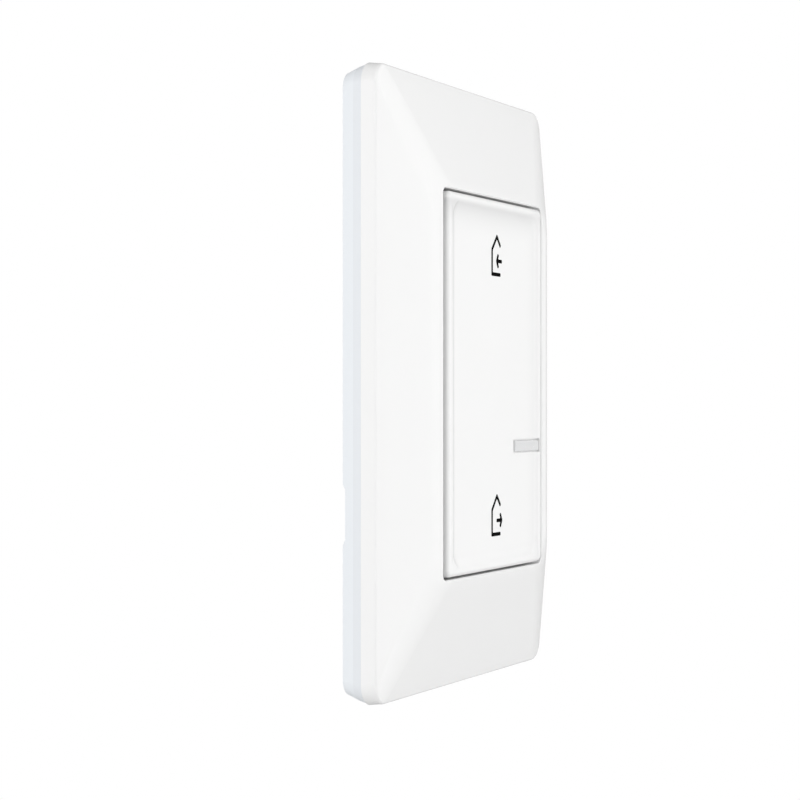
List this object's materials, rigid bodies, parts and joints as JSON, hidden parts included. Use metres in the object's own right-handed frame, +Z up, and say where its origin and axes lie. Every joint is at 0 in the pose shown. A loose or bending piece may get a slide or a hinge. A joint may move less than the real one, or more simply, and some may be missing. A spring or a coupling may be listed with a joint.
{
  "type": "light switch",
  "caption": "Wall switch with a tall sprung rocker in a sloping cover plate, on a shallow wall frame with a battery radio mechanism behind; tilts both ways to signal.",
  "frame": {"origin": "centre of the frame's back face, on the wall plane", "axes": "+Z up the wall, +X to the viewer's right, -Y out of the wall towards the viewer"},
  "size_m": [0.0808, 0.0149, 0.1208],
  "materials": {
    "plate": "white, satin, fine moulded grain",
    "frame": "cool white, satin",
    "pad": "white foam with adhesive film",
    "key": "white, satin, fine moulded grain",
    "light_bar": "translucent grey, satin",
    "chassis": "dark grey, matt",
    "housing": "light grey, matt",
    "screw": "zinc plated",
    "board": "green solder mask",
    "coin": "bright stainless steel",
    "contact": "nickel-plated spring strip",
    "switch_base": "black, matt",
    "switch_cover": "bright sheet steel",
    "plunger": "black, satin",
    "radio_board": "dark solder mask",
    "shield": "tinned sheet steel",
    "antenna": "white ceramic with silvered ends",
    "led": "white package with clear window",
    "light_guide": "clear moulded plastic",
    "capacitor": "yellow moulded case"
  },
  "bodies": {
    "base": {"cover_plate": "plate", "wall_frame": "frame", "adhesive_pads": "pad", "chassis": "chassis", "rear_housing": "housing", "housing_screws": "screw", "circuit_board": "board", "coin_cell": "coin", "battery_negative_spring": "contact", "battery_positive_spring": "contact", "upper_switch_base": "switch_base", "lower_switch_base": "switch_base", "upper_switch_cover": "switch_cover", "lower_switch_cover": "switch_cover", "radio_board": "radio_board", "radio_shield": "shield", "chip_antenna": "antenna", "status_led": "led", "light_guide": "light_guide", "buffer_capacitor": "capacitor"},
    "rocker": {"rocker": "key", "light_bar": "light_bar"},
    "upper_plunger": {"upper_switch_plunger": "plunger"},
    "lower_plunger": {"lower_switch_plunger": "plunger"}
  },
  "joints": [
    {"name": "rocker_tilt", "type": "hinge", "parent": "base", "child": "rocker", "pos_m": [0, -0.01089, 0], "axis": [1, 0, 0], "range_deg": [-1.25, 1.25], "stiffness_Nm_per_rad": 3},
    {"name": "upper_plunger_travel", "type": "slide", "parent": "base", "child": "upper_plunger", "axis": [0, 1, 0], "range_m": [-0.00035, 0.00035]},
    {"name": "lower_plunger_travel", "type": "slide", "parent": "base", "child": "lower_plunger", "axis": [0, 1, 0], "range_m": [-0.00035, 0.00035]}
  ],
  "couplings": [
    {"joint": "upper_plunger_travel", "follows": "rocker_tilt", "m_per_rad": -0.016},
    {"joint": "lower_plunger_travel", "follows": "rocker_tilt", "m_per_rad": 0.016}
  ]
}
